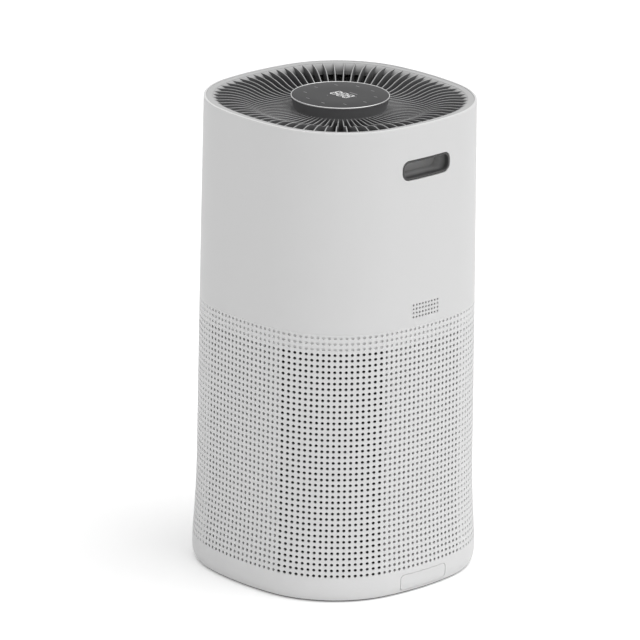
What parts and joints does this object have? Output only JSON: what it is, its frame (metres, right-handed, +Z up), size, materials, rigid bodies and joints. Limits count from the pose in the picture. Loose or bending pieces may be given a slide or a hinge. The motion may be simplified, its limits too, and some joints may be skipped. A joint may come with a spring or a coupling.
{
  "type": "air purifier",
  "caption": "Free-standing tower air purifier: rounded-square perforated shell, radial outlet grille, round touch panel, lift-off body over a drum filter.",
  "frame": {"origin": "on the floor, at the middle of the footprint", "axes": "+Z up along the body's axis; the front looks along -Y; the release tab is on the +X face"},
  "size_m": [0.2898, 0.2898, 0.5266],
  "materials": {
    "shell_plastic": "fine matt",
    "bezel_plastic": "matt",
    "grille_plastic": "satin",
    "grip_plastic": "matt",
    "dark_plastic": "matt",
    "inner_plastic": "matt",
    "wheel_plastic": "satin",
    "cap_plastic": "matt",
    "filter_fleece": "fleece",
    "sleeve_mesh": "fine mesh",
    "panel_gloss": "gloss",
    "display_block": "gloss",
    "ring_chrome": "bright",
    "circuit_board": "solder mask",
    "motor_steel": "brushed",
    "shaft_steel": "polished",
    "foot_rubber": "matt",
    "lead_rubber": "matt"
  },
  "bodies": {
    "base": {"base_plate": "dark_plastic", "base_feet": "foot_rubber", "filter_lower_cap": "cap_plastic", "filter_upper_cap": "cap_plastic", "filter_media": "filter_fleece", "filter_sleeve": "sleeve_mesh"},
    "body": {"intake_shell": "shell_plastic", "upper_shell": "shell_plastic", "grip_cup_right": "grip_plastic", "grip_cup_left": "grip_plastic", "air_sensor": "dark_plastic", "top_bezel": "bezel_plastic", "outlet_grille": "grille_plastic", "control_neck": "grille_plastic", "control_board": "circuit_board", "led_display": "display_block", "panel_glass": "panel_gloss", "panel_ring": "ring_chrome", "inlet_plate": "inner_plastic", "fan_duct": "inner_plastic", "fan_motor": "motor_steel", "power_inlet": "dark_plastic", "supply_lead": "lead_rubber", "board_tray": "inner_plastic", "power_board": "circuit_board", "tab_guide": "inner_plastic", "tab_spring": "shaft_steel"},
    "rotor": {"impeller": "wheel_plastic", "motor_shaft": "shaft_steel"},
    "tab": {"release_tab": "shell_plastic"}
  },
  "joints": [
    {"name": "body_lift", "type": "slide", "parent": "base", "child": "body", "axis": [0, 0, 1], "range_m": [0, 0.3]},
    {"name": "fan_spin", "type": "hinge", "parent": "body", "child": "rotor", "pos_m": [0, 0, 0.4], "axis": [0, 0, 1], "continuous": true},
    {"name": "tab_press", "type": "slide", "parent": "body", "child": "tab", "axis": [-1, 0, 0], "range_m": [0, 0.003], "stiffness_N_per_m": 900, "deforming": ["tab_spring"]}
  ]
}
